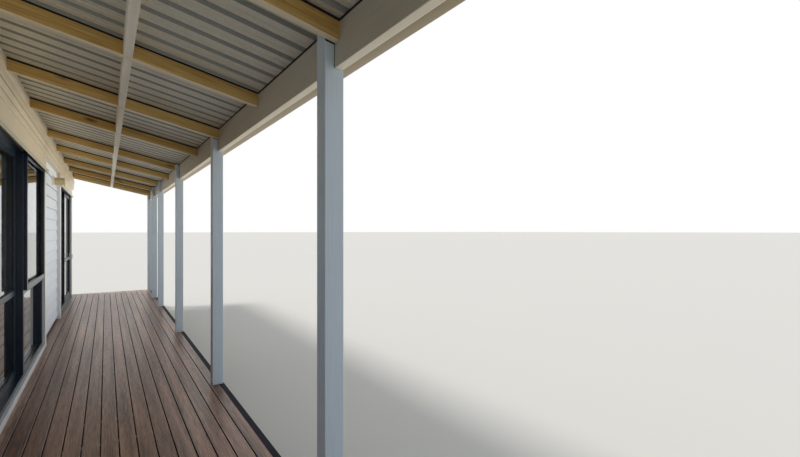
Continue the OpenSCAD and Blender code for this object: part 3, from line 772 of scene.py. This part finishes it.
def add_gutter(bm, low, high, board):
    """Adds a box gutter that fills a box, hung just clear of the board that stands at a y."""
    front = low.y if abs(high.y - board) < abs(low.y - board) else high.y
    turn = 1 if front > board else -1
    back = board + turn * gutter_clear
    line = [(back, high.z), (back, low.z + corner_r)]
    line += [(back + turn * corner_r * (1 - math.cos(a)), low.z + corner_r * (1 - math.sin(a)))
             for a in [math.radians(step) for step in (30, 60, 90)]]
    line += [(front - turn * corner_r * (1 - math.sin(a)), low.z + corner_r * (1 - math.cos(a)))
             for a in [math.radians(step) for step in (0, 30, 60, 90)]]
    line += [(front, high.z - 2 * bead_r)]
    middle = Vector(((low.x + high.x) / 2, (low.y + high.y) / 2, high.z))
    length = high.x - low.x
    absorb(bm, fold_sheet([(low.x, y, z) for y, z in line], (length, 0, 0), gutter_metal,
                          lambda face: face.normal.dot(face.calc_center_median() - middle)))
    add_round(bm, (middle.x, front - turn * bead_r, high.z - bead_r), bead_r, length, 16, along_x)
    for x in (low.x, high.x - gutter_metal):
        add_length(bm, [Vector((x, y, z)) for y, z in line], Vector((gutter_metal, 0, 0)))
    count = int(length / bracket_gap)
    for i in range(count + 1):
        x = low.x + (i + 0.5) * length / (count + 1)
        add_box(bm, (x - bracket_w / 2, board, high.z - bead_r - bracket_t),
                (x + bracket_w / 2, front - turn * bead_r, high.z - bead_r))


# Baked enamel: warm pale grey with a satin sheen and a little dust; the verandah's duller wheat
# is painted shade and a painted warm reflection.
white_enamel = sheet_steel("pale_enamelled_steel", "#C2BAA8", 0.35, 0.0, 60)
verandah_gutter_shade = sheet_steel("wheat_enamelled_steel_painted_shade", "#A9966F", 0.35, 0.0, 60)
bm = bmesh.new()
for low, high in solid_boxes("main_gutters"):
    add_gutter(bm, low, high, high.y if low.y < front_y else low.y)
make_piece("main_gutters_folded", bm, [white_enamel], ["main_gutters"], smooth=35)
bm = bmesh.new()
low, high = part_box("verandah_gutter")
add_gutter(bm, low, high, high.y)
make_piece("verandah_gutter_folded", bm, [verandah_gutter_shade], ["verandah_gutter"], smooth=35)

# Downpipes: extruded white PVC with moulded elbows, glued together at their sockets, and held to
# the wall and to the end post by clips. The pipes with elbows are the long ones.
pipe_r = 0.040
socket_t = 0.004
socket_h = 0.060
clip_w = 0.025
clip_t = 0.003
straight_depth = 0.100
long_clips = (0.35, 1.35, 2.2)
short_clips = (0.35, 1.5)
# Moulded PVC: smooth and slightly glossy white, chalked in patches by the weather.
pipe_white = two_tone("white_pvc", {"Roughness": 0.4, "IOR": 1.53}, "#E4E3DE", "#D2D0C8", 4, 5)
bm = bmesh.new()
add_node_copy(bm, "downpipes", 0)
for low, high in solid_boxes("downpipes"):
    x, y, clips = (low.x + high.x) / 2, (low.y + high.y) / 2, short_clips
    if high.y - low.y > straight_depth:
        y, clips = low.y + pipe_r + socket_t, long_clips
    for z in clips:
        add_round(bm, (x, y, z), pipe_r + clip_t, clip_w, 32)
    add_round(bm, (x, y, low.z + socket_h / 2), pipe_r + socket_t, socket_h, 32)
make_piece("downpipes_and_clips", bm, [pipe_white], ["downpipes"], smooth=40)

# Deck boards: hardwood, reeded on top to keep a grip when wet, with eased edges, screwed twice to
# each joist. Boards are laid in lengths that meet over a joist.
deck_low, deck_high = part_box("deck_boards")
board_w = 0.0925
board_gap = 0.0077
outer_board_w = 0.075
board_arris = 0.0018
reed_pitch = 0.0075
reed_w = 0.0030
reed_depth = 0.0015
length_joint = 0.002
deck_screw_r = 0.0042
deck_screw_h = 0.0012
deck_screw_sunk = 0.0003
screw_stray = 0.004
screw_in = 0.020


def board_outline(y0, y1, top, thickness):
    """A reeded board's section, from its back edge over the grooves to its front edge."""
    line = [(y0, top - thickness), (y0, top - board_arris), (y0 + board_arris, top)]
    count = int((y1 - y0 - 4 * board_arris) / reed_pitch)
    margin = (y1 - y0 - (count - 1) * reed_pitch) / 2
    for i in range(count):
        groove = y0 + margin + i * reed_pitch
        line += [(groove - reed_w / 2, top), (groove - reed_w / 4, top - reed_depth),
                 (groove + reed_w / 4, top - reed_depth), (groove + reed_w / 2, top)]
    return line + [(y1 - board_arris, top), (y1, top - board_arris), (y1, top - thickness)]


def coat_faces(piece, material, chosen):
    """Gives a second material to the faces whose normal is chosen."""
    piece.data.materials.append(material)
    for face in piece.data.polygons:
        face.material_index = 1 if chosen(face.normal) else 0


# Oiled hardwood: mauve brown, fine grained and uneven from board to board, with a low sheen that
# picks up the light along the reeds.
deck_oil = timber("oiled_reeded_hardwood", "#CB9D82", "#60463A", 0.33, 5, "X",
                  board=("Y", board_w + board_gap, deck_low.y + outer_board_w + board_gap / 2))
# Their sawn edges: painted nearly black as painted shade, so that the gaps read as black lines.
deck_gap_shade = timber("hardwood_gap_painted_shade", "#1E1613", "#0E0A08", 0.8, 5, "X")
# Stainless steel: pale and bright, rubbed to uneven greys by feet.
steel = two_tone("stainless_steel", {"Metallic": 1.0, "Roughness": 0.35}, "#9A9892", "#C4C2BC", 300, 2)
joists = [(low.x + high.x) / 2 for low, high in solid_boxes("deck_joists")]
rows = [(deck_low.y, deck_low.y + outer_board_w)]
while rows[-1][1] + board_gap + 1.9 * board_w < deck_high.y:
    rows.append((rows[-1][1] + board_gap, rows[-1][1] + board_gap + board_w))
rows.append((rows[-1][1] + board_gap, deck_high.y))
chance = random.Random(7)
bm = bmesh.new()
for y0, y1 in rows:
    breaks = sorted(chance.sample(joists[8:13], 1) + chance.sample(joists[18:23], 1))
    ends = [deck_low.x] + breaks + [deck_high.x]
    outline = board_outline(y0, y1, deck_high.z, deck_high.z - deck_low.z)
    for x0, x1 in zip(ends, ends[1:]):
        x0 += length_joint / 2 if x0 > deck_low.x else 0
        x1 -= length_joint / 2 if x1 < deck_high.x else 0
        add_length(bm, [Vector((x0, y, z)) for y, z in outline], Vector((x1 - x0, 0, 0)))
deck_piece = make_piece("reeded_deck_boards", bm, [deck_oil], ["deck_boards"])
# The boards' sides, facing into the gaps, get the near-black painted shade.
coat_faces(deck_piece, deck_gap_shade, lambda normal: abs(normal.y) > 0.95)
bm = bmesh.new()
for y0, y1 in rows:
    for x in joists:
        for y in (y0 + screw_in, y1 - screw_in):
            head = (x + chance.uniform(-screw_stray, screw_stray), y, deck_high.z - deck_screw_sunk)
            add_round(bm, head, deck_screw_r, deck_screw_h, 8, top=0.9)
make_piece("deck_screws", bm, [steel])

# Deck fascia: a planed pine board on edge, nailed to the ends of the joists along the deck's open
# side to close the frame under it.
# Stain: dark slate blue, quite matt, and thin enough to let the grain through.
fascia_stain = timber("stained_pine_fascia", "#151C2C", "#0B101C", 0.95, 5, "X")
ease_node("deck_fascia", 0.003, fascia_stain)

# Posts and beam: dressed and laminated pine painted white, with eased edges. Each post is notched
# for the beam, and its tongue stands behind it, with a thin black strip down each side that is
# painted shade.
posts = ["post_%d" % i for i in range(1, 8)]
# Satin acrylic: white brushed up the post, its bluish tint painted skylight; duller and warmer on the
# beam as painted shade, and lighter and creamier on the beam's lower edge as painted light.
post_paint = paint("post_satin_acrylic", "#D2E0EB", "#B8C4CC", 0.4, 3, "Z")
beam_paint = paint("beam_satin_acrylic", "#C8C0B0", "#ADA593", 0.45, 3, "X")
beam_underside_light = paint("beam_foot_painted_light", "#FBF1D8", "#E2D4B4", 0.4, 3, "X")
for node in posts:
    ease_node(node, 0.003, post_paint)
beam_piece = ease_node("verandah_beam", 0.004, beam_paint)
# The beam's underside gets the lighter cream, which is painted light.
coat_faces(beam_piece, beam_underside_light, lambda normal: normal.z < -0.6)

# Rafters, ledger and noggings: planed pine. The rafters are left bare and stand from the ledger to
# the beam beside their posts. The ledger is bolted to the wall, the noggings nailed in between.
verandah_pitch = math.radians(12.75)
downhill = Vector((0, -math.cos(verandah_pitch), -math.sin(verandah_pitch)))
# Bare planed pine: straw yellow with darker latewood lines and small brown knots. The lower edges
# are painted pale, as a painted highlight.
rafter_pine = timber("bare_planed_pine", "#EBCC84", "#BA904A", 0.5, 9, "Y", tilt=-verandah_pitch, knots=True)
rafter_underside_highlight = timber("bare_planed_pine_painted_highlight", "#FFF3D6", "#E9D5AC", 0.45, 9, "Y", tilt=-verandah_pitch)
# Primed pine: a thin cream coat through which the grain shows.
primed_pine = timber("primed_pine", "#FFF6E2", "#D8C8A8", 0.5, 14, "X")
primed_nogging = timber("primed_pine_nogging", "#FFFAEE", "#EFE6D2", 0.5, 9, "X")
rafter_piece = ease_node("verandah_rafters", 0.003, rafter_pine)
# The rafters' undersides get the pale pine, which is a painted highlight.
coat_faces(rafter_piece, rafter_underside_highlight, lambda normal: normal.z < -0.6)
ease_node("verandah_ledger", 0.003, primed_pine)
ease_node("verandah_noggings", 0.002, primed_nogging)

# Membrane: strips of bitumen felt folded over the rafters, the beam and the posts' tongues, which
# keep the steel off the treated wood. More of it packs each post off its rafter and fills that gap,
# and thin strips of it run down beside each tongue: these are painted shade, black for shadow lines.
lap_h = 0.012
lap_t = 0.0008
shade_line_w = 0.002
gap_shade_drop = 0.004
rafters = solid_boxes("verandah_rafters")
tongues = [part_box(node) for node in posts]
beam_low, beam_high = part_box("verandah_beam")
beam_y, beam_top = beam_high.y, beam_high.z
# Bitumen: matt black, greyed where it is scuffed. The same black makes the strips of painted shade.
membrane_and_shade_lines = two_tone("bitumen_membrane_and_painted_shade", {"Roughness": 0.8}, "#0E0D0B", "#24211C", 40, 4)
fall = math.tan(verandah_pitch)
bm = bmesh.new()
for low, high in rafters:
    run = downhill * ((high.y - low.y) / math.cos(verandah_pitch))
    for x0, x1 in ((low.x - lap_t, low.x), (high.x, high.x + lap_t)):
        section = [(x0, -lap_h), (x1, -lap_h), (x1, 0), (x0, 0)]
        add_length(bm, [Vector((x, high.y, high.z + h)) for x, h in section], run)
make_piece("rafter_membrane", bm, [membrane_and_shade_lines])
bm = bmesh.new()
stops = sorted((low.x, high.x) for low, high in rafters + tongues)
for (_, x0), (x1, _) in zip(stops, stops[1:]):
    if x1 - x0 > lap_h:
        add_box(bm, (x0, beam_y, beam_top - lap_h), (x1, beam_y + lap_t, beam_top))
rafter_drop = min(high.z - low.z for low, high in rafters) - fall * min(
    high.y - low.y for low, high in rafters)
for low, high in tongues:
    rise = (high.y - beam_y) * fall
    inner = high.y + lap_t
    section = [(inner, high.z - lap_h), (beam_y, high.z - rise - lap_h), (beam_y, high.z - rise),
               (inner, high.z)]
    add_length(bm, [Vector((low.x - lap_t, y, z)) for y, z in section],
               Vector((high.x - low.x + 2 * lap_t, 0, 0)))
    # Thin black strips down each side of the tongue: painted shade lines.
    for x0, x1 in ((low.x - shade_line_w, low.x), (high.x, high.x + shade_line_w)):
        add_box(bm, (x0, beam_y, beam_low.z), (x1, beam_y + lap_t, beam_top - lap_h))
    # Black packing in the gap between each post and its rafter: painted shade.
    for r_low, r_high in rafters:
        x0, x1 = (r_high.x, low.x) if r_high.x < low.x else (high.x, r_low.x)
        if 0 < x1 - x0 < lap_h:
            foot = high.z - rafter_drop - gap_shade_drop
            section = [(high.y, foot), (beam_y, foot - rise), (beam_y, high.z - rise - lap_h),
                       (high.y, high.z - lap_h)]
            add_length(bm, [Vector((x0, y, z)) for y, z in section], Vector((x1 - x0, 0, 0)))
make_piece("beam_and_post_membrane_and_shade_lines", bm, [membrane_and_shade_lines])

# Verandah roofing: the same ribbed sheets, lapped under the main roof's eave by an apron flashing,
# with their fall to the gutter.
verandah_screw_rows = (0.05, 0.5, 0.8)
low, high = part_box("verandah_roof")
up = Vector((0, -math.sin(verandah_pitch), math.cos(verandah_pitch)))
foot = Vector((0, low.y, low.z))
uphill = -downhill * ((high.y - low.y) / math.cos(verandah_pitch))
bm = bmesh.new()
add_sheet(bm, low.x, high.x, foot, uphill, up)
add_roof_screws(bm, low.x, high.x, [foot + uphill * share for share in verandah_screw_rows], up)
make_piece("verandah_roof_sheets", bm, roof_sheets, ["verandah_roof"])
finish_node("apron_flashing", roof_steel)

# Wall light: a moulded lamp with a ribbed, yellowed diffuser on a painted block, and below it the
# white ball of a movement sensor with a dark lens.
block_t = 0.034
collar_r = 0.060
collar_t = 0.008
diffuser_r = 0.052
ring_count = 7
ring_ease = 0.003
nose_ease = 0.010
ball_r = 0.027
ball_aside = 0.012
ball_in = 0.040
lens_r = 0.011
light_low, light_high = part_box("wall_light")
centre = (light_low + light_high) / 2
block_face = light_high.y - block_t
diffuser_root = block_face - collar_t
face_out = Matrix.Rotation(math.radians(90), 4, "X")
bm = bmesh.new()
add_box(bm, (light_low.x, block_face, light_low.z), light_high)
ease(bm, 0.004)
collar = bmesh.new()
add_round(collar, (centre.x, block_face - collar_t / 2, centre.z), collar_r, collar_t, 40, face_out)
ease(collar, 0.004)
absorb(bm, collar)
ball_at = Vector((centre.x + ball_aside, light_low.y + ball_in, light_low.z + ball_r))
bmesh.ops.create_uvsphere(bm, u_segments=24, v_segments=16, radius=ball_r,
                          matrix=Matrix.Translation(ball_at))
# Moulded white plastic: smooth and slightly glossy, gone a little cream.
light_white = paint("light_body_white", "#EEE6E2", "#D9D0C8", 0.35, 1)
make_piece("light_block_and_sensor", bm, [light_white], ["wall_light"], smooth=40)
step = (diffuser_root - light_low.y) / ring_count
bm = bmesh.new()
for i in range(ring_count):
    ring = bmesh.new()
    ring_at = (centre.x, diffuser_root - (i + 0.5) * step, centre.z)
    add_round(ring, ring_at, diffuser_r, step, 48, face_out)
    ease(ring, ring_ease if i < ring_count - 1 else nose_ease, 4)
    absorb(bm, ring)
# Yellowed polycarbonate: milky, straw coloured and glossy.
diffuser = two_tone("yellowed_polycarbonate", {
    "Roughness": 0.3, "IOR": 1.58, "Subsurface Weight": 0.3, "Subsurface Scale": 0.02},
    "#BFB07E", "#DACB9E", 18, 3)
make_piece("light_diffuser", bm, [diffuser], smooth=50)
bm = bmesh.new()
place = Matrix.Translation(ball_at + Vector((0, -ball_r * 0.75, -ball_r * 0.3)))
bmesh.ops.create_uvsphere(bm, u_segments=20, v_segments=12, radius=lens_r, matrix=place)
make_piece("sensor_lens", bm, [rubber], smooth=60)

# Studio: a pale floor, a white surround that lights everything evenly and a little coolly, a high
# lamp behind the house, which leaves the verandah in the house's own shade, and a low softbox in
# front of it.
floor_reach = 600
surround_strength = 0.65
high_lamp_strength = 1.8
high_lamp_spread = math.radians(14)
high_lamp_down = (-0.25, -0.6, -0.8)
softbox_power = 240
softbox_w = 18
softbox_h = 1
softbox_at = (6.5, -12, 0.45)
softbox_tilt = math.radians(22)
softbox_spread = math.radians(60)
bm = bmesh.new()
bmesh.ops.create_grid(bm, x_segments=1, y_segments=1, size=floor_reach)
mesh = bpy.data.meshes.new("studio_floor")
bm.to_mesh(mesh)
bm.free()
# Floor paint: a flat warm grey, so that the light it sends up is warm.
floor_paint = start_material("studio_floor_paint", {"Roughness": 0.9, "Base Color": linear("#E4DFD5")})[0]
mesh.materials.append(floor_paint)
put_in_scene("studio_floor", mesh)
world = bpy.data.worlds.new("soft_surround")
bpy.context.scene.world = world
world.use_nodes = True
world.node_tree.nodes.clear()
rays = add(world, "ShaderNodeLightPath").outputs
seen = add(world, "ShaderNodeMath", {0: rays["Is Camera Ray"], 1: rays["Is Glossy Ray"]},
           operation="MAXIMUM")
seen = add(world, "ShaderNodeMath", {0: seen, 1: rays["Is Transmission Ray"]}, operation="MAXIMUM")
light = add(world, "ShaderNodeBackground", {"Color": linear("#E4ECF7"), "Strength": surround_strength})
white = add(world, "ShaderNodeBackground", {"Color": (1, 1, 1, 1), "Strength": 1.0})
both = add(world, "ShaderNodeMixShader", {0: seen, 1: light, 2: white})
add(world, "ShaderNodeOutputWorld", {"Surface": both})


def add_lamp(name, kind, **settings):
    """Adds a lamp with its settings."""
    data = bpy.data.lights.new(name, kind)
    for setting, value in settings.items():
        setattr(data, setting, value)
    return put_in_scene(name, data)


lamp = add_lamp("high_lamp", "SUN", energy=high_lamp_strength, angle=high_lamp_spread)
lamp.rotation_euler = Vector(high_lamp_down).to_track_quat("-Z", "Y").to_euler()
softbox = add_lamp("low_softbox", "AREA", shape="RECTANGLE", size=softbox_w, size_y=softbox_h,
                   energy=softbox_power, spread=softbox_spread, color=linear("#FFF3E2")[:3])
softbox.location = softbox_at
softbox.rotation_euler = (math.radians(90) + softbox_tilt, 0, 0)
softbox.visible_camera = False
softbox.visible_glossy = False

bpy.context.scene.view_settings.view_transform = "Standard"
